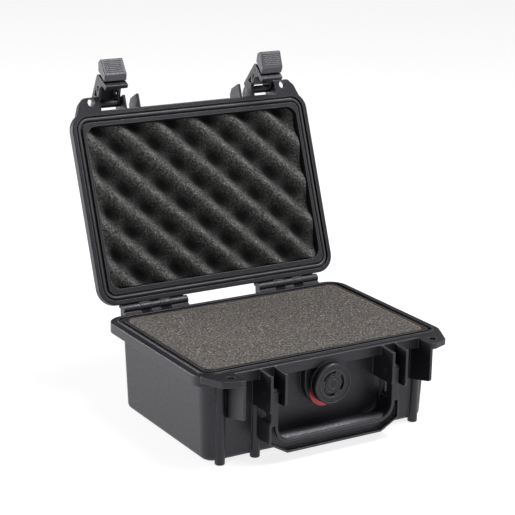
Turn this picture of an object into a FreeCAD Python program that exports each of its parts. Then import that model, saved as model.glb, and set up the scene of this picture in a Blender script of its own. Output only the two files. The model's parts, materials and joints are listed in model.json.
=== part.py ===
"""Small hard equipment case, shown open, with its foam set.

Millimetres, +Z up. The origin is the centre of the raised panel under the tub, where the case
stands. +X is to the right seen from the front, and +Y is to the back, where the hinges are.
The lid and the latches are modelled closed, then turned to the open pose that the case rests in.
"""
import FreeCAD, Part
import math
import os
from FreeCAD import Vector

# Driving dimensions of the two shells
FLANGE_HALF_X = 103.0       # outside of the rim flange, both shells
FLANGE_FRONT, FLANGE_BACK = -71.7, 74.0
FLANGE_R = 14.0
RIM_Z = 70.0                # top of the tub's sealing ridge
FLANGE_TOP = 69.0           # top of the tub's flange, outside the ridge
FLANGE_BOTTOM = 61.0
FLOOR_Z = 2.0               # underside of the tub, above the raised panel and the foot nubs
WALL = 3.0
LID_FACE = 70.3             # mating face of the closed lid
LID_FLANGE_TOP = 76.8
LID_TOP = 92.0

# Sealing features, as insets from the flange's outside
RIDGE_INSET = (5.1, 6.3)
GROOVE_INSET = (6.3, 9.2)
CHANNEL_INSET = (3.4, 8.4)
CHANNEL_DEPTH = 3.0
SEAL_INSET = 5.7
SEAL_R = 1.25

# Hinges
HINGE_Y, HINGE_Z = 77.6, 72.1
HINGE_R = 3.2
HINGE_PIN_R = 1.25
RUNNING = 0.05              # radial clearance of a turning fit
KNUCKLE_GAP = 0.4
KNUCKLES = (31.5, 46.0, 55.5, 63.0, 72.0, 86.0)     # ends of the five knuckles of one hinge
LID_OPEN = 110.5

# Front ribs, padlock ears and foot nubs
RIB_X = (44.7, 56.2, 77.7)
RIB_T = 2.1
RIB_FRONT = -86.5
RIB_BOTTOM = (43.5, 40.0, 40.0)     # height of each rib's lower edge at its front
RIB_FOOT = (43.5, 40.0, 34.0)       # and at the wall
LID_RIB_FRONT = -82.2
EAR_T = 4.5
EAR_HOLE_X, EAR_HOLE_Y, EAR_HOLE_R = 84.0, -78.3, 3.0
NUB_X = (53.8, 82.0)
NUB_R = 3.6

# Latches: a runs from the lid pin to the free end, n runs outward, in the closed latch
LATCH_PIN_Y, LATCH_PIN_Z = -77.5, 79.0
LATCH_PIN_R = 1.5
LATCH_X = 67.0
LATCH_W = 18.4
WEB_T = 1.8
LEVER_PIN_A, LEVER_PIN_N = 20.5, 4.0
LEVER_PIN_R = 1.1
LATCH_OPEN = {"left": 43.0, "right": 29.0}

# Handle
HANDLE_Y, HANDLE_Z = -78.0, 52.0
HANDLE_FRONT, HANDLE_BACK = -81.5, -74.6
ARM_IN, ARM_OUT = 47.6, 53.3
FLARE_OUT = 54.6
FLARE_TOP = 30.5
CORNER_X, CORNER_Z = 39.5, 15.5     # the cut corners run from (CORNER_X, BAR_BOTTOM) up to here
BAR_BOTTOM, BAR_TOP = 6.9, 17.0
BAR_BACK = -66.0

# Pressure vent
VENT_Z = 49.2
VENT_FACE = -77.5
BOSS_FRONT = -68.3
BOSS_HALF = 18.0
TAG_X, TAG_Z, TAG_R = -1.8, -5.8, 12.5      # coloured tag washer, centre from the vent's axis
CAP_R = 15.0
COLLAR_R = 15.3
STEM_R = 6.0


# ---- small geometry helpers -------------------------------------------------------------------

def place(plane, u, v, level):
    """The 3-D point of (u, v) on the plane xy, yz or xz at the given level."""
    if plane == "xy":
        return Vector(u, v, level)
    if plane == "yz":
        return Vector(level, u, v)
    return Vector(u, level, v)


def outline(points, plane, level):
    """Closed wire through (u, v) or (u, v, corner radius) points."""
    flat = [(p[0], p[1], p[2] if len(p) > 2 else 0.0) for p in points]
    stretches = []
    for i, (u, v, r) in enumerate(flat):
        before, after = flat[i - 1], flat[(i + 1) % len(flat)]
        d0 = Vector(before[0] - u, before[1] - v, 0).normalize()
        d1 = Vector(after[0] - u, after[1] - v, 0).normalize()
        if r <= 0:
            stretches.append(((u, v), None, (u, v)))
            continue
        half = math.acos(max(-1.0, min(1.0, d0.dot(d1)))) / 2
        cut = r / math.tan(half)
        middle = (d0 + d1).normalize() * (r / math.sin(half) - r)
        stretches.append(((u + d0.x * cut, v + d0.y * cut),
                          (u + middle.x, v + middle.y),
                          (u + d1.x * cut, v + d1.y * cut)))
    edges = []
    for i, (start, middle, end) in enumerate(stretches):
        if middle:
            edges.append(Part.Arc(place(plane, *start, level), place(plane, *middle, level),
                                  place(plane, *end, level)).toShape())
        following = stretches[(i + 1) % len(stretches)][0]
        a, b = place(plane, *end, level), place(plane, *following, level)
        if a.distanceToPoint(b) > 1e-6:
            edges.append(Part.makeLine(a, b))
    return Part.Wire(edges)


def prism(points, plane, start, end):
    """Solid of an outline, from one level to another."""
    direction = {"xy": Vector(0, 0, 1), "yz": Vector(1, 0, 0), "xz": Vector(0, 1, 0)}[plane]
    return Part.Face(outline(points, plane, start)).extrude(direction * (end - start))


def rectangle(half_x, y0, y1, r):
    return [(-half_x, y0, r), (half_x, y0, r), (half_x, y1, r), (-half_x, y1, r)]


def flange_rectangle(inset):
    return rectangle(FLANGE_HALF_X - inset, FLANGE_FRONT + inset, FLANGE_BACK - inset,
                     max(FLANGE_R - inset, 2.0))


def ring(inset, z0, z1):
    """Rectangular band between two insets from the flange's outside."""
    outer = prism(flange_rectangle(inset[0]), "xy", z0, z1)
    return outer.cut(prism(flange_rectangle(inset[1]), "xy", z0 - 1, z1 + 1))


def tapered(low, z0, high, z1):
    """Solid between two rectangles of the same kind at two heights."""
    return Part.makeLoft([outline(low, "xy", z0), outline(high, "xy", z1)], True, True)


def rod_x(y, z, r, x0, x1):
    return Part.makeCylinder(r, x1 - x0, Vector(x0, y, z), Vector(1, 0, 0))


def rod_y(x, z, r, y0, y1):
    return Part.makeCylinder(r, y1 - y0, Vector(x, y0, z), Vector(0, 1, 0))


def rod_z(x, y, r, z0, z1):
    return Part.makeCylinder(r, z1 - z0, Vector(x, y, z0), Vector(0, 0, 1))


def rounded(shape, radius, chosen):
    """Fillet the edges that chosen(edge) picks."""
    return shape.makeFillet(radius, [e for e in shape.Edges if chosen(e)])


def within(edge, axis, low, high):
    """True where the whole edge lies between two values on an axis."""
    box = edge.BoundBox
    return getattr(box, axis + "Min") > low and getattr(box, axis + "Max") < high


def mirrored(shape):
    return shape.mirror(Vector(0, 0, 0), Vector(1, 0, 0))


def both(shape):
    return [shape, mirrored(shape)]


def joined(shapes):
    union = shapes[0].multiFuse(shapes[1:]).removeSplitter()
    if union.Volume < max(shape.Volume for shape in shapes):
        raise ValueError("a union lost one of its solids")
    return union


def without(shape, cutters):
    return shape.cut(Part.makeCompound(cutters))


def turned(shape, y, z, degrees):
    """The shape turned about the X direction through (y, z)."""
    result = shape.copy()
    result.rotate(Vector(0, y, z), Vector(1, 0, 0), degrees)
    return result


def export(name, shape):
    solids = shape.Solids
    if not shape.isValid() or not solids:
        raise ValueError(name + " is not a valid solid")
    whole = solids[0] if len(solids) == 1 else Part.makeCompound(solids)
    whole.exportStep("parts/" + name + ".step")
    print(f"{name:22s} solids {len(solids)}  volume {whole.Volume / 1000:8.2f} cm3")


# ---- hollows and foam -------------------------------------------------------------------------

def tub_hollow(z, gap=0.0):
    """Rectangle of the tub's inside at a height, drawn in by a gap."""
    t = (z - FLOOR_Z - WALL) / (RIM_Z - FLOOR_Z - WALL)
    return rectangle(89.0 + 3.0 * t - gap, -58.5 - 1.5 * t + gap, 60.5 + 1.5 * t - gap, 7.0 + t)


def lid_hollow(z, gap=0.0):
    """Rectangle of the lid's inside at a height, drawn in by a gap."""
    t = (z - LID_FACE) / (LID_TOP - LID_FACE)
    return rectangle(92.3 - 1.7 * t - gap, -60.3 + 1.7 * t + gap, 62.3 - 1.7 * t - gap, 8.5 - t)


PAD_TOP = FLOOR_Z + WALL + 6.3
FOAM_TOP = RIM_Z + 0.1
LID_FOAM = (LID_FACE + 0.5, LID_TOP - WALL - 0.2)


def base_pad():
    low = FLOOR_Z + WALL + 0.1
    return tapered(tub_hollow(low, 0.4), low, tub_hollow(PAD_TOP, 0.4), PAD_TOP)


def pluck_foam():
    low = PAD_TOP + 0.2
    return tapered(tub_hollow(low, 0.3), low, tub_hollow(FOAM_TOP, 0.3), FOAM_TOP)


def lid_foam():
    low, high = LID_FOAM
    return tapered(lid_hollow(low, 0.5), low, lid_hollow(high, 0.5), high)


# ---- tub --------------------------------------------------------------------------------------

def tub_walls():
    low = rectangle(92.0, -61.5, 63.5, 9.0)
    high = rectangle(95.0, -63.0, 65.0, 10.0)
    walls = tapered(low, FLOOR_Z, high, FLANGE_BOTTOM + 1)
    return rounded(walls, 4.0, lambda e: within(e, "Z", FLOOR_Z - 1, FLOOR_Z + 0.1))


def tub_flange():
    flange = prism(flange_rectangle(0), "xy", FLANGE_BOTTOM, FLANGE_TOP)
    flange = rounded(flange, 0.9, lambda e: within(e, "Z", FLANGE_TOP - 0.1, FLANGE_TOP + 0.1))
    flange = rounded(flange, 0.7, lambda e: within(e, "Z", FLANGE_BOTTOM - 0.1, FLANGE_BOTTOM + 0.1))
    inner = prism(flange_rectangle(GROOVE_INSET[1]), "xy", FLANGE_TOP - 1, RIM_Z - 0.2)
    ridge = rounded(ring(RIDGE_INSET, FLANGE_TOP - 1, RIM_Z), 0.4,
                    lambda e: within(e, "Z", RIM_Z - 0.1, RIM_Z + 0.1))
    return joined([flange.cut(ring(GROOVE_INSET, FLANGE_TOP - 1.2, RIM_Z + 1)), inner, ridge])


def base_rib(x, bottom, foot):
    top = RIM_Z - 1.5
    plate = prism([(-60.5, top - 2), (-60.5, foot + 2), (-62, foot), (RIB_FRONT, bottom, 2.5),
                   (RIB_FRONT, top - 1, 0.8), (-73, top)], "yz", x - RIB_T / 2, x + RIB_T / 2)
    return rounded(plate, 0.5, lambda e: within(e, "Y", -100, RIB_FRONT + 2.6))


def base_ear():
    edge = RIB_X[2] - RIB_T / 2
    plate = prism([(edge, -70), (edge, RIB_FRONT - 0.6, 1.5), (81, RIB_FRONT - 0.6, 2),
                   (92.5, -82.8, 2.5), (100.5, -66, 2), (98, -60)], "xy",
                  FLANGE_TOP - EAR_T, FLANGE_TOP)
    plate = rounded(plate, 0.6, lambda e: within(e, "Z", FLANGE_TOP - 0.1, FLANGE_TOP + 0.1)
                    and e.BoundBox.YMin < -71)
    return plate


def foot_column(x, y):
    """Half-round rib up a wall, ending below in a small round foot nub."""
    column = rod_z(x, y, NUB_R, 0, FLANGE_BOTTOM + 0.5)
    return rounded(column, 0.8, lambda e: within(e, "Z", -0.1, 0.1))


def foot_nub(x, y):
    return rounded(rod_z(x, y, 3.0, 0, FLOOR_Z + 4), 0.8, lambda e: within(e, "Z", -0.1, 0.1))


def hinge_web(points, x0, x1, bottom_rib=None):
    parts = [rod_x(HINGE_Y, HINGE_Z, HINGE_R, x0, x1), prism(points, "yz", x0, x1)]
    if bottom_rib:
        middle = (x0 + x1) / 2
        parts.append(prism(bottom_rib, "yz", middle - 1.5, middle + 1.5))
    return joined(parts)


def hinge_shelf():
    """Ledge of the flange that runs on under the lid's knuckles."""
    return prism([(72, FLANGE_BOTTOM), (76, FLANGE_BOTTOM, 1), (80.2, 66, 1), (80.2, 68.3, 0.5),
                  (72, 68.3)], "yz", KNUCKLES[0], KNUCKLES[5])


def base_knuckles():
    web = [(72, 61), (76, 61, 1), (80.4, 67), (80.75, 71.6), (77.6, 72.1), (74.4, 70), (72, 68.9)]
    rib = [(63, 42), (65.5, 42), (76, 61.2), (72, 64), (63, 64)]
    return [hinge_web(web, KNUCKLES[i], KNUCKLES[i + 1], rib) for i in (0, 2, 4)]


def vent_boss():
    """U-shaped boss, half round below, that carries the vent on the front wall."""
    low, high = VENT_Z - BOSS_HALF, FLANGE_BOTTOM + 1
    boss = prism([(-BOSS_HALF, high), (-BOSS_HALF, low, BOSS_HALF - 0.1),
                  (BOSS_HALF, low, BOSS_HALF - 0.1), (BOSS_HALF, high)], "xz", BOSS_FRONT, -61)
    return rounded(boss, 0.8, lambda e: within(e, "Y", BOSS_FRONT - 0.1, BOSS_FRONT + 0.1)
                   and e.BoundBox.ZMin < FLANGE_BOTTOM + 0.9)


def flange_marks():
    """Short moulding slots under the flange on the two side walls."""
    return [prism([(94.2, 55.3), (97, 55.3), (97, 57.2), (94.2, 57.2)], "xz", y - 2.6, y + 2.6)
            for y in (34.8, -39.8)]


def base_shell():
    solids = [tub_walls(), tub_flange(), vent_boss()]
    right = [base_rib(*rib) for rib in zip(RIB_X, RIB_BOTTOM, RIB_FOOT)]
    right += [base_ear()] + [foot_column(x, -61.4) for x in NUB_X]
    right += [foot_nub(NUB_X[1], 58.0), hinge_shelf()] + base_knuckles()
    for solid in right:
        solids += both(solid)
    panel = rounded(prism(rectangle(62, -38, 38, 8), "xy", 0, FLOOR_Z + 1), 0.8,
                    lambda e: within(e, "Z", -0.1, 0.1))
    shell = joined(solids + [panel])
    cutters = [tapered(tub_hollow(FLOOR_Z + WALL), FLOOR_Z + WALL, tub_hollow(RIM_Z + 1), RIM_Z + 1),
               rod_y(0, VENT_Z, STEM_R + RUNNING, -75, -55),
               rod_y(0, VENT_Z, 11.5, -65.2, -57),
               rod_y(0, VENT_Z, COLLAR_R + 0.4, -90, BOSS_FRONT)]
    for cutter in flange_marks() + [
            rod_z(EAR_HOLE_X, EAR_HOLE_Y, EAR_HOLE_R, 60, 75),
            rod_x(HINGE_Y, HINGE_Z, HINGE_PIN_R, KNUCKLES[0] + 0.8, KNUCKLES[5] - 0.8),
            rod_x(HANDLE_Y, HANDLE_Z, LATCH_PIN_R, RIB_X[0] - 2, RIB_X[1] + 2)]:
        cutters += both(cutter)
    return without(shell, cutters)


# ---- lid, closed ------------------------------------------------------------------------------

def lid_walls():
    walls = tapered(rectangle(95.0, -63.0, 65.0, 10.0), LID_FLANGE_TOP - 1,
                    rectangle(94.0, -62.0, 64.0, 9.5), LID_TOP)
    walls = rounded(walls, 4.0, lambda e: within(e, "Z", LID_TOP - 0.1, LID_TOP + 1))
    recess = rounded(prism(rectangle(76, -46, 48, 9), "xy", LID_TOP - 0.9, LID_TOP + 2), 0.5,
                     lambda e: within(e, "Z", LID_TOP - 1, LID_TOP - 0.8))
    return walls.cut(recess)


def lid_flange():
    flange = prism(flange_rectangle(0), "xy", LID_FACE, LID_FLANGE_TOP)
    flange = rounded(flange, 0.8, lambda e: within(e, "Z", LID_FACE - 0.1, LID_FACE + 0.1))
    return rounded(flange, 1.2, lambda e: within(e, "Z", LID_FLANGE_TOP - 0.1, LID_FLANGE_TOP + 0.1))


def lid_rib(x):
    plate = prism([(-60.8, 88), (-60.8, LID_FACE + 3), (-70, LID_FACE), (LID_RIB_FRONT, LID_FACE, 0.8),
                   (-80.6, 82, 2), (-76.5, 86, 2), (-63, 88.3)], "yz",
                  x - RIB_T / 2, x + RIB_T / 2)
    return rounded(plate, 0.5, lambda e: within(e, "Y", -90, -75.5))


def lid_ear():
    edge = RIB_X[2] - RIB_T / 2
    plate = prism([(edge, -70), (edge, -82.2, 1.2), (89.5, -82.2, 3.2), (94.4, -77.2, 3.5),
                   (98.5, -67, 2), (96, -60)], "xy", LID_FACE, LID_FACE + EAR_T)
    return rounded(plate, 0.6, lambda e: e.BoundBox.YMin < -71 and e.BoundBox.ZLength < 0.1)


def lid_lip():
    """Thin lip of the lid's flange that covers the gap over the hinge knuckles."""
    return prism([(73, 76.0), (76.3, 76.0, 0.3), (76.3, LID_FLANGE_TOP, 0.3), (73, LID_FLANGE_TOP)],
                 "yz", KNUCKLES[0], KNUCKLES[5])


def lid_knuckles():
    web = [(72, 76.5), (77.6, 75.3), (80.7, 72.6), (77.6, 72.1), (74.6, 70.9), (72, 70.9)]
    half = KNUCKLE_GAP
    return [hinge_web(web, KNUCKLES[i] + half, KNUCKLES[i + 1] - half) for i in (1, 3)]


def lid_shell():
    solids = [lid_walls(), lid_flange()]
    for solid in [lid_rib(x) for x in RIB_X] + [lid_ear(), lid_lip()] + lid_knuckles():
        solids += both(solid)
    shell = joined(solids)
    channel = ring(CHANNEL_INSET, LID_FACE - 1, LID_FACE + CHANNEL_DEPTH)
    ceiling = LID_TOP - WALL
    hollow = tapered(lid_hollow(LID_FACE - 1), LID_FACE - 1, lid_hollow(ceiling), ceiling)
    cutters = [channel, hollow]
    for cutter in [rod_z(EAR_HOLE_X, EAR_HOLE_Y, EAR_HOLE_R, 65, 80),
                   rod_x(HINGE_Y, HINGE_Z, HINGE_PIN_R + RUNNING, KNUCKLES[0], KNUCKLES[5]),
                   rod_x(LATCH_PIN_Y, LATCH_PIN_Z, LATCH_PIN_R, RIB_X[1] - 2, RIB_X[2] + 2)]:
        cutters += both(cutter)
    return without(shell, cutters)


def lid_seal():
    """O-ring in the lid's channel: a round section swept round the flange."""
    z = LID_FACE + CHANNEL_DEPTH - SEAL_R - 0.1
    path = outline(flange_rectangle(SEAL_INSET), "xy", z)
    start = path.OrderedEdges[0]
    point = start.valueAt(start.FirstParameter)
    tangent = start.tangentAt(start.FirstParameter)
    section = Part.Wire([Part.makeCircle(SEAL_R, point, tangent)])
    return path.makePipeShell([section], True, False)


# ---- latches, closed --------------------------------------------------------------------------

def latch_prism(points, x0, x1):
    """Prism of (a, n) points: a down from the lid pin, n outward."""
    flat = [(LATCH_PIN_Y - p[1], LATCH_PIN_Z - p[0], *p[2:]) for p in points]
    return prism(flat, "yz", x0, x1)


def latch_rod(a, n, r, x0, x1):
    return rod_x(LATCH_PIN_Y - n, LATCH_PIN_Z - a, r, x0, x1)


LATCH_X0, LATCH_X1 = LATCH_X - LATCH_W / 2, LATCH_X + LATCH_W / 2


def latch_web(x0, x1):
    web = latch_prism([(-2.8, 0.5), (-2.8, 9, 1.5), (21.5, 9), (22.5, 7.5), (22.5, -1.5),
                       (18.9, -1.5), (14, 1.2), (3, -1.8)], x0, x1)
    windows = [latch_prism([(4.4, 6.0, 0.4), (11.2, 6.0, 0.4), (6.2, 1.3, 0.4)], x0 - 1, x1 + 1),
               latch_prism([(13.6, 5.3, 0.4), (9.6, 1.7, 0.4), (15.6, 2.5, 0.4)], x0 - 1, x1 + 1)]
    return without(web, windows)


def latch_body():
    wall = latch_prism([(-2.8, 6.8), (-2.8, 9, 1.5), (19.3, 9), (19.3, 6.8)], LATCH_X0, LATCH_X1)
    hook = latch_prism([(19, -7.7, 0.8), (19, 1.2, 0.5), (22.5, 1.2, 0.5), (22.5, -7.7, 0.8)],
                       LATCH_X0, LATCH_X1)
    body = joined([wall, hook, latch_rod(0, 0, 3.0, LATCH_X0, LATCH_X1),
                   latch_web(LATCH_X0, LATCH_X0 + WEB_T), latch_web(LATCH_X1 - WEB_T, LATCH_X1)])
    return without(body, [latch_rod(0, 0, LATCH_PIN_R + RUNNING, LATCH_X0 - 1, LATCH_X1 + 1),
                          latch_rod(LEVER_PIN_A, LEVER_PIN_N, LEVER_PIN_R,
                                    LATCH_X0 - 1, LATCH_X1 + 1)])


GRIP_LOW, GRIP_HIGH = (28.7, -2.4), (35.5, 9.5)     # ends of the lever's ribbed face
GRIP_RIBS = 7


def latch_lever():
    block = latch_prism([(25.0, 8.5, 0.6), (31.0, 11.5, 1.2), (*GRIP_HIGH, 1.4), (*GRIP_LOW, 0.8),
                         (23.5, -4.2, 0.8)], LATCH_X0, LATCH_X1)
    block = rounded(block, 0.7, lambda e: e.BoundBox.XLength < 0.1)
    inset = WEB_T + 0.3
    tongue = latch_prism([(LEVER_PIN_A, 1.8), (26, 1.8), (26, 6.2), (LEVER_PIN_A, 6.2)],
                         LATCH_X0 + inset, LATCH_X1 - inset)
    parts = [block, tongue, latch_rod(LEVER_PIN_A, LEVER_PIN_N, 2.2,
                                      LATCH_X0 + inset, LATCH_X1 - inset)]
    along = (GRIP_HIGH[0] - GRIP_LOW[0], GRIP_HIGH[1] - GRIP_LOW[1])
    for i in range(GRIP_RIBS):
        t = (i + 1.6) / (GRIP_RIBS + 2.2)
        parts.append(latch_rod(GRIP_LOW[0] + t * along[0], GRIP_LOW[1] + t * along[1], 0.45,
                               LATCH_X0 + 2.2, LATCH_X1 - 2.2))
    return without(joined(parts), [latch_rod(LEVER_PIN_A, LEVER_PIN_N, LEVER_PIN_R + RUNNING,
                                             LATCH_X0, LATCH_X1)])


def latch_pin():
    return rod_x(LATCH_PIN_Y, LATCH_PIN_Z, LATCH_PIN_R, RIB_X[1] - RIB_T / 2, RIB_X[2] + RIB_T / 2)


def lever_pin():
    return latch_rod(LEVER_PIN_A, LEVER_PIN_N, LEVER_PIN_R, LATCH_X0 + 0.2, LATCH_X1 - 0.2)


# ---- handle -----------------------------------------------------------------------------------

def u_outline(right, inner, top):
    """Closed U through its right outer points and its right inner corner, open upward at top."""
    outer = right + [(-x, z, r) for x, z, r in reversed(right)]
    x, z, r = inner
    return [(right[0][0], top)] + outer + [(-right[0][0], top), (-x, top), (-x, z, r), inner, (x, top)]


def handle_arms():
    """Front view of the U down to the bar: two arms, flared low, with cut corners."""
    right = [(ARM_OUT, FLARE_TOP + 2.5, 1.0), (FLARE_OUT, FLARE_TOP, 1.0),
             (FLARE_OUT, CORNER_Z, 1.0), (CORNER_X, BAR_BOTTOM, 1.5)]
    arms = prism(u_outline(right, (ARM_IN, BAR_TOP, 11.0), HANDLE_Z), "xz",
                 HANDLE_FRONT, HANDLE_BACK)
    return rounded(arms, 0.6, lambda e: within(e, "Y", HANDLE_FRONT - 0.1, HANDLE_FRONT + 0.1)
                   and e.BoundBox.ZMin < HANDLE_Z - 1)


def handle_cradle():
    """The U's lower part, as deep as the fingers' bar."""
    right = [(FLARE_OUT, CORNER_Z, 1.0), (CORNER_X, BAR_BOTTOM, 1.5)]
    cradle = prism(u_outline(right, (ARM_IN, BAR_TOP, 11.0), FLARE_TOP), "xz",
                   HANDLE_FRONT + 1, BAR_BACK)
    return rounded(cradle, 1.2, lambda e: within(e, "Y", BAR_BACK - 0.1, BAR_BACK + 0.1))


def handle_grip():
    """Rounded rise on the bar that the fingers close on."""
    points = [(HANDLE_FRONT + 0.6, 14.5), (HANDLE_FRONT + 1.4, 17.6, 2.0), (-75.5, 20.6, 6.5),
              (BAR_BACK + 0.8, 16.5, 4.0), (BAR_BACK + 0.8, 12.0), (HANDLE_FRONT + 0.6, 12.0)]
    return prism(points, "yz", -43.0, 43.0)


def handle_groove():
    """Groove in the front face that follows the bar and rises into both corners."""
    right = [(FLARE_OUT - 1.4, CORNER_Z + 0.4, 1.0), (CORNER_X - 0.4, BAR_BOTTOM + 1.6, 1.0)]
    inner = (ARM_IN + 2.2, BAR_TOP - 1.8, 12.8)
    return prism(u_outline(right, inner, FLARE_TOP - 1.5), "xz",
                 HANDLE_FRONT - 1, HANDLE_FRONT + 3.6)


def handle():
    solids = [handle_arms(), handle_cradle(), handle_grip()]
    cutters = [handle_groove()]
    for side in (-1, 1):
        low, high = sorted((side * ARM_IN, side * ARM_OUT))
        solids.append(rounded(rod_x(HANDLE_Y, HANDLE_Z, 3.5, low, high), 0.6, lambda e: True))
        cutters.append(rod_x(HANDLE_Y, HANDLE_Z, LATCH_PIN_R + RUNNING, low - 1, high + 1))
    return without(joined(solids), cutters)


def handle_pin():
    return rod_x(HANDLE_Y, HANDLE_Z, LATCH_PIN_R, RIB_X[0] - RIB_T / 2, RIB_X[1] + RIB_T / 2)


# ---- vent -------------------------------------------------------------------------------------

def revolved(profile):
    """Solid of revolution about the vent's axis, from (radius, y) points."""
    face = Part.Face(Part.makePolygon([Vector(r, y, VENT_Z) for r, y in profile + profile[:1]]))
    return face.revolve(Vector(0, 0, VENT_Z), Vector(0, 1, 0), 360)


def vent_cap():
    face = VENT_FACE
    profile = [(0, face + 0.3), (3.2, face + 0.3), (3.2, face + 0.7), (3.9, face + 0.7),
               (3.9, face + 0.2), (6.2, face + 0.2), (6.2, face + 1.2), (7.2, face + 1.2),
               (7.2, face + 0.5), (9.6, face + 0.5), (9.6, face + 0.9), (10.2, face + 0.9),
               (10.2, face + 0.5), (12.8, face + 0.5), (12.8, face + 0.9), (13.4, face + 0.9),
               (13.4, face), (14.3, face), (CAP_R, face + 0.7), (CAP_R, face + 3.9),
               (14.0, face + 5.4), (0, face + 5.4)]
    cap = revolved(profile)
    slot = revolved([(7.2, face - 1), (9.2, face - 1), (9.2, face + 2.6), (7.2, face + 2.6)])
    bridges = []
    for k in range(3):
        bridge = Part.makeBox(5.0, 6.0, 12.0, Vector(-2.5, face - 2, VENT_Z))
        bridge.rotate(Vector(0, 0, VENT_Z), Vector(0, 1, 0), 120 * k + 30)
        bridges.append(bridge)
    return cap.cut(without(slot, bridges))


def vent_body():
    """Threaded stem with a collar, bored from inside for the membrane."""
    return revolved([(0, -72.0), (COLLAR_R, -72.0), (COLLAR_R, -70.0), (STEM_R, -70.0),
                     (STEM_R, -61.2), (4.2, -61.2), (4.2, -70.8), (0, -70.8)])


def vent_membrane():
    return rod_y(0, VENT_Z, 4.1, -70.7, -70.2)


def vent_gasket():
    return rod_y(0, VENT_Z, 11.8, -69.95, -69.1).cut(rod_y(0, VENT_Z, 6.4, -71, -68))


def vent_red_ring():
    """Coloured tag washer under the gasket, set low so that it shows below the cap."""
    washer = rod_y(TAG_X, VENT_Z + TAG_Z, TAG_R, -69.05, BOSS_FRONT - 0.05)
    return washer.cut(rod_y(0, VENT_Z, 6.4, -71, -67))


def vent_nut():
    flats = [(10.4 * math.cos(math.radians(60 * k)), VENT_Z + 10.4 * math.sin(math.radians(60 * k)))
             for k in range(6)]
    return prism(flats, "xz", -65.1, -61.4).cut(rod_y(0, VENT_Z, STEM_R + RUNNING, -70, -60))


# ---- assembly ---------------------------------------------------------------------------------

def opened(shape):
    """A shape that rides on the lid, turned from closed to open."""
    return turned(shape, HINGE_Y, HINGE_Z, -LID_OPEN)


def on_side(shape, side):
    return shape if side == "right" else mirrored(shape)


def main():
    os.makedirs("parts", exist_ok=True)
    export("base_shell", base_shell())
    export("base_pad", base_pad())
    export("pluck_foam", pluck_foam())
    export("lid_shell", opened(lid_shell()))
    export("lid_seal", opened(lid_seal()))
    export("lid_foam", opened(lid_foam()))
    export("handle", handle())
    hinge_pin = rod_x(HINGE_Y, HINGE_Z, HINGE_PIN_R, KNUCKLES[0] + 1, KNUCKLES[5] - 1)
    for side in ("left", "right"):
        export("hinge_pin_" + side, on_side(hinge_pin, side))
        export("handle_pin_" + side, on_side(handle_pin(), side))
        export("latch_pin_" + side, opened(on_side(latch_pin(), side)))
        for name, shape in (("latch_body_", latch_body()), ("latch_lever_", latch_lever()),
                            ("lever_pin_", lever_pin())):
            swung = turned(on_side(shape, side), LATCH_PIN_Y, LATCH_PIN_Z, -LATCH_OPEN[side])
            export(name + side, opened(swung))
    for name, make in (("vent_body", vent_body), ("vent_cap", vent_cap), ("vent_nut", vent_nut),
                       ("vent_membrane", vent_membrane), ("vent_gasket", vent_gasket),
                       ("vent_red_ring", vent_red_ring)):
        export(name, make())


main()
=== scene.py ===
"""Looks of the hard equipment case: foam pieces, materials, light and camera around the CAD frame."""
import bpy
import json
import math
from mathutils import Matrix, Vector, noise


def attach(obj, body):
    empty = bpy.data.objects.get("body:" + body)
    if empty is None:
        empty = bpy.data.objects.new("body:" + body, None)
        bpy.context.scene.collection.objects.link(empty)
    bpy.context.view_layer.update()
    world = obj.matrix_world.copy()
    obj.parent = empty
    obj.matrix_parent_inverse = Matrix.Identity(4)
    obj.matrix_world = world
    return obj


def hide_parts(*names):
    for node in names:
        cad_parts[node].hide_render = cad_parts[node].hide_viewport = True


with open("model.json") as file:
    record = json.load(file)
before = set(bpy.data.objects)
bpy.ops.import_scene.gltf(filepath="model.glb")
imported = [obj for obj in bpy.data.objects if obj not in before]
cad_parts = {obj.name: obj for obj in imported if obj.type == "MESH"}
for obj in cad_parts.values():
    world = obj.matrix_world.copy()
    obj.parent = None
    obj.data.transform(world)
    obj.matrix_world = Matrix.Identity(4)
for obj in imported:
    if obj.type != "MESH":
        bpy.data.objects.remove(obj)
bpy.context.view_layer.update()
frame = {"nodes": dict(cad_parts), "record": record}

MM = 0.001


# ---- camera and studio ------------------------------------------------------------------------

CAMERA_AT = (-0.6167, -0.9746, 0.4618)      # metres, in the frame of the part
CAMERA_YAW, CAMERA_PITCH, CAMERA_ROLL = -31.62, 16.48, 1.035        # degrees
CAMERA_LENS, CAMERA_SENSOR = 116.3, 36.0

AIM = Vector((0.0, 0.02, 0.09))             # what the lights point at
FLOOR_HALF = 12.0
FLOOR_DROP = 0.0002                         # keeps the floor clear of the feet


def make_camera():
    data = bpy.data.cameras.new("camera")
    data.lens, data.sensor_width = CAMERA_LENS, CAMERA_SENSOR
    data.clip_start, data.clip_end = 0.01, 100.0
    camera = bpy.data.objects.new("camera", data)
    turn = (Matrix.Rotation(math.radians(CAMERA_YAW), 4, "Z")
            @ Matrix.Rotation(math.radians(90.0 - CAMERA_PITCH), 4, "X")
            @ Matrix.Rotation(math.radians(CAMERA_ROLL), 4, "Z"))
    camera.matrix_world = Matrix.Translation(CAMERA_AT) @ turn
    bpy.context.collection.objects.link(camera)
    bpy.context.scene.camera = camera


def make_light(name, place, size, watts):
    """Soft square light that points at the object."""
    data = bpy.data.lights.new(name, "AREA")
    data.shape, data.size, data.energy = "SQUARE", size, watts
    light = bpy.data.objects.new(name, data)
    light.location = place
    light.rotation_euler = (AIM - Vector(place)).to_track_quat("-Z", "Y").to_euler()
    bpy.context.collection.objects.link(light)


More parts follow.
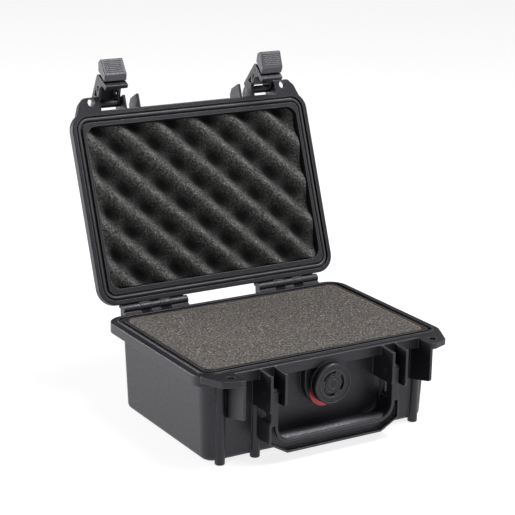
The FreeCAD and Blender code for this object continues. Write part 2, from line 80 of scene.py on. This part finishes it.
def make_studio():
    world = bpy.data.worlds.new("studio")
    world.use_nodes = True
    backdrop = world.node_tree.nodes["Background"]
    backdrop.inputs["Color"].default_value = (1.0, 1.0, 1.0, 1.0)
    backdrop.inputs["Strength"].default_value = 0.26
    bpy.context.scene.world = world
    bpy.context.scene.view_settings.view_transform = "Standard"
    make_light("key_back_left", (-1.25, 0.95, 0.40), 1.0, 35.0)
    make_light("overhead", (0.50, -0.35, 1.35), 0.8, 27.0)
    make_light("front_fill", (0.95, -1.45, 0.12), 0.7, 4.0)

    mesh = bpy.data.meshes.new("floor")
    half = FLOOR_HALF
    mesh.from_pydata([(-half, -half, 0), (half, -half, 0), (half, half, 0), (-half, half, 0)], [],
                     [(0, 1, 2, 3)])
    floor = bpy.data.objects.new("floor", mesh)
    floor.location.z = -FLOOR_DROP
    bpy.context.collection.objects.link(floor)
    surface = Surface("pale_floor", (0.25, 0.25, 0.25), roughness=0.9)
    surface.set("Specular IOR Level", 0.1)
    surface.set("Emission Color", (1.0, 1.0, 1.0, 1.0))
    surface.set("Emission Strength", 0.82)
    mesh.materials.append(surface.material)


# ---- materials --------------------------------------------------------------------------------

class Surface:
    """A principled material with procedural detail in the object's own metres."""

    def __init__(self, name, colour, roughness):
        self.material = bpy.data.materials.new(name)
        self.material.use_nodes = True
        self.tree = self.material.node_tree
        self.shader = self.tree.nodes["Principled BSDF"]
        self.shader.inputs["Base Color"].default_value = (*colour, 1.0)
        self.shader.inputs["Roughness"].default_value = roughness
        self.colour = colour
        self.position = self.node("ShaderNodeTexCoord").outputs["Object"]
        self.normal = None

    def set(self, socket, value):
        self.shader.inputs[socket].default_value = value

    def node(self, kind, **values):
        made = self.tree.nodes.new(kind)
        for name, value in values.items():
            setattr(made, name, value)
        return made

    def link(self, source, target):
        self.tree.links.new(source, target)

    def noise(self, per_metre, detail=2.0, roughness=0.5):
        made = self.node("ShaderNodeTexNoise")
        self.link(self.position, made.inputs["Vector"])
        made.inputs["Scale"].default_value = per_metre
        made.inputs["Detail"].default_value = detail
        made.inputs["Roughness"].default_value = roughness
        return made.outputs["Fac"]

    def cells(self, per_metre):
        made = self.node("ShaderNodeTexVoronoi")
        self.link(self.position, made.inputs["Vector"])
        made.inputs["Scale"].default_value = per_metre
        return made.outputs["Distance"]

    def attribute(self, name):
        return self.node("ShaderNodeAttribute", attribute_name=name).outputs["Fac"]

    def spread(self, value, low, high, to_low=0.0, to_high=1.0):
        """Map a value's range onto another one, clamped."""
        made = self.node("ShaderNodeMapRange")
        self.link(value, made.inputs["Value"])
        for socket, number in (("From Min", low), ("From Max", high), ("To Min", to_low),
                               ("To Max", to_high)):
            made.inputs[socket].default_value = number
        return made.outputs["Result"]

    def tint(self, amount, darker=0.8, lighter=1.25):
        """Vary the base colour between a darker and a lighter tone of itself."""
        low = tuple(c * darker for c in self.colour)
        high = tuple(min(1.0, c * lighter) for c in self.colour)
        self.blend_colour(amount, low, high)

    def blend_colour(self, amount, low, high):
        mix = self.node("ShaderNodeMix", data_type="RGBA")
        self.link(amount, mix.inputs["Factor"])
        self.colour_input(mix.inputs[6], low)
        mix.inputs[7].default_value = (*high, 1.0)
        self.link(mix.outputs[2], self.shader.inputs["Base Color"])

    def colour_input(self, socket, colour):
        """Set a colour, or carry on from what already feeds the base colour."""
        linked = self.shader.inputs["Base Color"].links
        if colour is None and linked:
            self.link(linked[0].from_socket, socket)
        else:
            socket.default_value = (*(colour or self.colour), 1.0)

    def over(self, amount, colour):
        """Lay another colour over what is there already."""
        self.blend_colour(amount, None, colour)

    def vary_roughness(self, amount, low, high):
        self.link(self.spread(amount, 0.3, 0.7, low, high), self.shader.inputs["Roughness"])

    def soften_edges(self, radius):
        """Small moulding radius on sharp edges, as a shading normal."""
        made = self.node("ShaderNodeBevel", samples=4)
        made.inputs["Radius"].default_value = radius
        self.normal = made.outputs["Normal"]
        self.link(self.normal, self.shader.inputs["Normal"])

    def edge_mask(self, radius, low, high):
        """Where the surface turns sharply: 1 on edges, 0 on open faces."""
        made = self.node("ShaderNodeBevel", samples=4)
        made.inputs["Radius"].default_value = radius
        geometry = self.node("ShaderNodeNewGeometry")
        product = self.node("ShaderNodeVectorMath", operation="DOT_PRODUCT")
        self.link(made.outputs["Normal"], product.inputs[0])
        self.link(geometry.outputs["Normal"], product.inputs[1])
        return self.spread(product.outputs["Value"], low, high, 1.0, 0.0)

    def bump(self, height, strength, depth):
        made = self.node("ShaderNodeBump")
        made.inputs["Strength"].default_value = strength
        made.inputs["Distance"].default_value = depth
        self.link(height, made.inputs["Height"])
        if self.normal:
            self.link(self.normal, made.inputs["Normal"])
        self.normal = made.outputs["Normal"]
        self.link(self.normal, self.shader.inputs["Normal"])


def moulded_plastic(name, colour, roughness, grain=0.8, specular=0.5):
    """Matte textured polypropylene: fine grain, soft sheen, edges painted lighter, partly as rubbed
    wear and partly as a painted highlight.
    """
    surface = Surface(name, colour, roughness)
    surface.tint(surface.spread(surface.noise(45.0, 3.0), 0.35, 0.65), 0.85, 1.15)
    surface.over(surface.spread(surface.noise(1100.0, 2.0), 0.50, 0.72, 0.0, 0.8),
                 tuple(c * 2.4 for c in colour))
    # Edges painted lighter: partly rubbed wear, partly a painted highlight along every sharp edge.
    surface.over(surface.edge_mask(0.7 * MM, 0.80, 0.98), tuple(c + 0.14 for c in colour))
    surface.vary_roughness(surface.noise(600.0, 3.0), roughness - 0.08, roughness + 0.10)
    surface.soften_edges(0.4 * MM)
    surface.bump(surface.noise(850.0, 2.0), grain, 0.22 * MM)
    surface.set("Specular IOR Level", specular)
    surface.set("Specular Tint", (0.92, 0.905, 1.0, 1.0))
    return surface.material


def steel():
    surface = Surface("pin_steel", (0.09, 0.09, 0.09), 0.38)
    surface.set("Metallic", 1.0)
    surface.tint(surface.spread(surface.noise(300.0, 3.0), 0.3, 0.7), 0.85, 1.1)
    surface.vary_roughness(surface.noise(900.0, 2.0), 0.28, 0.42)
    surface.bump(surface.noise(1500.0), 0.15, 0.03 * MM)
    return surface.material


def rubber():
    surface = Surface("seal_rubber", (0.035, 0.035, 0.037), 0.50)
    surface.tint(surface.spread(surface.noise(120.0, 2.0), 0.35, 0.65), 0.9, 1.15)
    surface.vary_roughness(surface.noise(200.0), 0.44, 0.58)
    surface.bump(surface.noise(1800.0), 0.12, 0.04 * MM)
    return surface.material


def red_plastic():
    surface = Surface("red_washer", (0.52, 0.018, 0.035), 0.36)
    surface.tint(surface.spread(surface.noise(250.0, 2.0), 0.35, 0.65), 0.85, 1.1)
    surface.vary_roughness(surface.noise(500.0), 0.32, 0.44)
    surface.bump(surface.noise(1500.0), 0.1, 0.03 * MM)
    return surface.material


def film():
    surface = Surface("membrane", (0.7, 0.7, 0.69), 0.7)
    surface.tint(surface.noise(2500.0, 1.0), 0.9, 1.05)
    surface.bump(surface.noise(4000.0), 0.2, 0.02 * MM)
    return surface.material


def open_cell_foam(name, colour, fleck, fleck_amount, depth, valley_shade=None, rim=None):
    """Dry open-cell foam: pores of about a millimetre, light flecks, no gloss.

    hollow is a painted shade laid deep between the ridges, darker the deeper the face lies, and over
    the sides and back; rim is the tone of the cut edge.
    """
    surface = Surface(name, colour, 0.95)
    surface.tint(surface.spread(surface.noise(560.0, 3.0, 0.8), 0.38, 0.62), 0.40, 1.65)
    surface.over(surface.spread(surface.cells(900.0), 0.50, 0.80, 0.0, 0.65),
                 tuple(c * 0.25 for c in colour))
    surface.over(surface.spread(surface.noise(820.0, 2.0, 0.6), 0.60, 0.70, 0.0, fleck_amount),
                 fleck)
    if valley_shade:
        # Painted shade: darker the deeper the face lies between the ridges, darkest on the sides and
        # back.
        surface.over(surface.spread(surface.attribute("sunk"), 0.05, 0.95), valley_shade)
    if rim:
        surface.over(surface.attribute("cut_edge"), rim)
    surface.bump(surface.cells(850.0), 0.7, depth)
    surface.bump(surface.noise(1900.0, 2.0), 0.5, depth * 0.6)
    surface.set("Specular IOR Level", 0.1)
    return surface.material


def dress(node, material):
    slots = frame["nodes"][node].data.materials
    if not slots:
        slots.append(material)
    for i in range(len(slots)):
        slots[i] = material


# ---- foam -------------------------------------------------------------------------------------

CRATE_PERIOD = 32.0 * MM         # along X and along Y, so the ridges run at 45 degrees
CRATE_PHASE = 1.30
BUMP_PHASE_X, BUMP_PHASE_Y = -2.35, 0.92
CRATE_DEPTH = 8.5 * MM
RIDGE_SHARPNESS = 1.25
CRATE_BUMPS = 0.25               # share of the depth that rises and falls along a ridge
CRATE_STEP = 1.15 * MM           # mesh step of the lid foam's face
CRATE_CORNER, CRATE_ROLL = 7.5 * MM, 0.5 * MM
CRATE_SIDES = (-92.0 * MM, 92.0 * MM)
BORDER = 9.0 * MM                # where the walls squeeze the foam and the relief is flatter
BORDER_RELIEF = 0.55             # relief that is left at the wall
WALL_GAP = 0.8 * MM              # how far a valley's end draws back from the right wall
GAP_SHARPNESS = 8                # keeps that gap close to the wall

TUB_STEP, PAD_STEP = 1.3 * MM, 4.0 * MM
TUB_CORNER, TUB_ROLL = 7.6 * MM, 0.8 * MM
CUT_BAND = 1.7 * MM              # width of the paler cut edge at the back and the right

ROLL_ROWS = (0.02, 0.1, 0.3, 0.6)           # extra mesh rows at an edge, in steps
SIDE_LEVELS = 3


def joint(name):
    return next(j for j in frame["record"]["behaviour"]["joints"] if j["name"] == name)


LID = joint("lid_hinge")
LID_OPENED = (Matrix.Translation(LID["pos_m"])
              @ Matrix.Rotation(-math.radians(LID["range_deg"][1]), 4, Vector(LID["axis"]))
              @ Matrix.Translation(-Vector(LID["pos_m"])))


def closed_points(node):
    """The points of a lid node with the lid shut."""
    back = LID_OPENED.inverted()
    return [back @ v.co for v in frame["nodes"][node].data.vertices]


def extent(points):
    return [(min(p[k] for p in points), max(p[k] for p in points)) for k in range(3)]


def level_extent(points, z, tolerance):
    """Extent in X and Y of the points at one height."""
    return extent([p for p in points if abs(p.z - z) < tolerance])[:2]


def rounded_row(y, y0, y1, x0, x1, r):
    """Ends in X of a rounded rectangle at a given Y."""
    near = min(y - y0, y1 - y)
    cut = r - math.sqrt(max(0.0, r * r - (r - near) ** 2)) if near < r else 0.0
    return x0 + cut, x1 - cut


def spaced(low, high, step):
    """Even values, with extra ones close to both ends for the rolled edge."""
    count = round((high - low) / step)
    inner = [low + (high - low) * i / count for i in range(1, count)]
    return ([low] + [low + e * step for e in ROLL_ROWS] + inner
            + [high - e * step for e in reversed(ROLL_ROWS)] + [high])


def foam_block(name, top_at, near, far, step, corner, edge_roll, edge_inset=None):
    """Closed block with a modelled face and plain tapered sides and back.

    near and far are ((x0, x1), (y0, y1), z) at the modelled face and at the back.
    top_at(x, y) is the face's depth in metres, from near's z towards far's z. edge_inset(depth)
    draws the right edge in. The mesh attributes sunk and cut_edge are for the material.
    """
    (x0, x1), (y0, y1), z_face = near
    (bx0, bx1), (by0, by1), z_back = far
    columns = spaced(-1.0, 1.0, 2.0 * step / (x1 - x0))
    rows = spaced(y0, y1, step)
    points, faces, sunk, cut_edge = [], [], [], []
    width = len(columns)
    for y in rows:
        left, right = rounded_row(y, y0, y1, x0, x1, corner)
        for c in columns:
            x = (left + right) / 2 + c * (right - left) / 2
            depth = top_at(x, y)
            away = min(x - left, right - x, y - y0, y1 - y)
            roll = edge_roll * max(0.0, 1.0 - away / edge_roll) ** 2
            if edge_inset:
                x -= edge_inset(depth) * max(0.0, c) ** GAP_SHARPNESS
            points.append((x, y, z_face + math.copysign(depth + roll, z_back - z_face)))
            # sunk, the face's depth, sets the painted shade between the ridges where the material has
            # one.
            sunk.append(depth / CRATE_DEPTH)
            cut_edge.append(max(0.0, 1.0 - min(right - x, y1 - y) / CUT_BAND))
    for j in range(len(rows) - 1):
        for i in range(width - 1):
            a = j * width + i
            faces.append((a, a + 1, a + 1 + width, a + width))
    border = (list(range(width)) + [j * width + width - 1 for j in range(1, len(rows))]
              + [(len(rows) - 1) * width + i for i in range(width - 2, -1, -1)]
              + [j * width for j in range(len(rows) - 2, 0, -1)])
    previous = border
    for level in range(1, SIDE_LEVELS + 1):
        t = level / SIDE_LEVELS
        start = len(points)
        for i in border:
            x, y, z = points[i]
            bx = (bx0 + bx1) / 2 + (x - (x0 + x1) / 2) * (bx1 - bx0) / (x1 - x0)
            by = (by0 + by1) / 2 + (y - (y0 + y1) / 2) * (by1 - by0) / (y1 - y0)
            points.append((x + (bx - x) * t, y + (by - y) * t, z + (z_back - z) * t))
            # The sides and back count as fully sunk, so they take the full painted shade.
            sunk.append(1.0)
            cut_edge.append(0.0)
        current = list(range(start, start + len(border)))
        for k in range(len(border)):
            following = (k + 1) % len(border)
            faces.append((previous[k], current[k], current[following], previous[following]))
        previous = current
    faces.append(tuple(reversed(previous)))
    mesh = bpy.data.meshes.new(name)
    mesh.from_pydata(points, [], faces)
    for label, values in (("sunk", sunk), ("cut_edge", cut_edge)):
        mesh.attributes.new(label, "FLOAT", "POINT").data.foreach_set("value", values)
    mesh.polygons.foreach_set("use_smooth", [True] * len(mesh.polygons))
    if z_back < z_face:
        mesh.flip_normals()
    piece = bpy.data.objects.new(name, mesh)
    bpy.context.collection.objects.link(piece)
    return piece


def crate_depth(x, y):
    """Depth of the egg-crate face below its peaks."""
    u, v = 2 * math.pi * x / CRATE_PERIOD, 2 * math.pi * y / CRATE_PERIOD
    ridge = (0.5 + 0.5 * math.cos(u - v + CRATE_PHASE)) ** RIDGE_SHARPNESS
    bumps = 0.5 + 0.25 * (math.cos(2 * u + BUMP_PHASE_X) + math.cos(2 * v + BUMP_PHASE_Y))
    height = (1 - CRATE_BUMPS) * ridge + CRATE_BUMPS * bumps * (0.7 + 0.3 * ridge)
    inside = min(BORDER, *(abs(x - side) for side in CRATE_SIDES))
    relief = BORDER_RELIEF + (1 - BORDER_RELIEF) * inside / BORDER
    height = 1.0 - (1.0 - height) * relief
    wobble = 0.5 * MM * noise.noise(Vector((x, y, 0.0)) * 55.0)
    grit = 0.12 * MM * noise.noise(Vector((x, y, 1.0)) * 700.0)
    return CRATE_DEPTH * (1.0 - height) + wobble + grit


def gap_at_wall(depth):
    """Room between the right wall and the end of a valley."""
    return WALL_GAP * max(0.0, depth / CRATE_DEPTH - 0.2)


def tub_face_depth(x, y):
    """Depth of the tub foam's nearly flat face."""
    sag = 0.25 * MM * noise.noise(Vector((x, y, 2.0)) * 30.0)
    grit = 0.10 * MM * noise.noise(Vector((x, y, 3.0)) * 650.0)
    return 0.25 * MM + sag + grit


def make_lid_foam():
    points = closed_points("lid_foam")
    _, _, (z0, z1) = extent(points)
    near = (*level_extent(points, z0, 1e-5), z0 + 0.1 * MM)
    far = (*level_extent(points, z1, 1e-5), z1)

    piece = foam_block("lid_foam_crate", crate_depth, near, far, CRATE_STEP, CRATE_CORNER,
                       CRATE_ROLL, gap_at_wall)
    piece.data.transform(LID_OPENED)
    piece.data.materials.append(open_cell_foam(
        "lid_foam", (0.088, 0.088, 0.085), (0.34, 0.34, 0.33), 0.7, 0.45 * MM,
        # The last colour is the painted shade deep between the ridges.
        valley_shade=(0.0055, 0.0055, 0.0055)))
    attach(piece, "lid")
    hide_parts("lid_foam")


def block_between(node):
    """Near and far outlines of a tapered tub foam node."""
    points = [v.co for v in frame["nodes"][node].data.vertices]
    _, _, (z0, z1) = extent(points)
    return (*level_extent(points, z1, 1e-5), z1), (*level_extent(points, z0, 1e-5), z0)


def make_tub_foam():
    material = open_cell_foam("tub_foam", (0.088, 0.080, 0.075), (0.40, 0.38, 0.35), 0.8,
                              0.35 * MM, rim=(0.30, 0.19, 0.10))
    for name, node, step in (("tub_foam_block", "pluck_foam", TUB_STEP),
                             ("tub_floor_pad", "base_pad", PAD_STEP)):
        near, far = block_between(node)
        piece = foam_block(name, tub_face_depth, near, far, step, TUB_CORNER, TUB_ROLL)
        piece.data.materials.append(material)
        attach(piece, "base")
        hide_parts(node)


# ---- assembly ---------------------------------------------------------------------------------

def dress_cad():
    case = moulded_plastic("case_plastic", (0.0056, 0.0055, 0.0070), 0.42)
    latch = moulded_plastic("latch_plastic", (0.045, 0.045, 0.050), 0.46)
    vent = moulded_plastic("vent_plastic", (0.0040, 0.0040, 0.0046), 0.38, 0.15, 0.36)
    pins, seal = steel(), rubber()
    for node in ("base_shell", "lid_shell", "handle"):
        dress(node, case)
    for node in ("vent_body", "vent_cap", "vent_nut"):
        dress(node, vent)
    for side in ("left", "right"):
        dress("latch_body_" + side, case)
        dress("latch_lever_" + side, latch)
        for pin in ("hinge_pin_", "handle_pin_", "latch_pin_", "lever_pin_"):
            dress(pin + side, pins)
    dress("lid_seal", seal)
    dress("vent_gasket", seal)
    dress("vent_red_ring", red_plastic())
    dress("vent_membrane", film())


make_camera()
make_studio()
dress_cad()
make_lid_foam()
make_tub_foam()
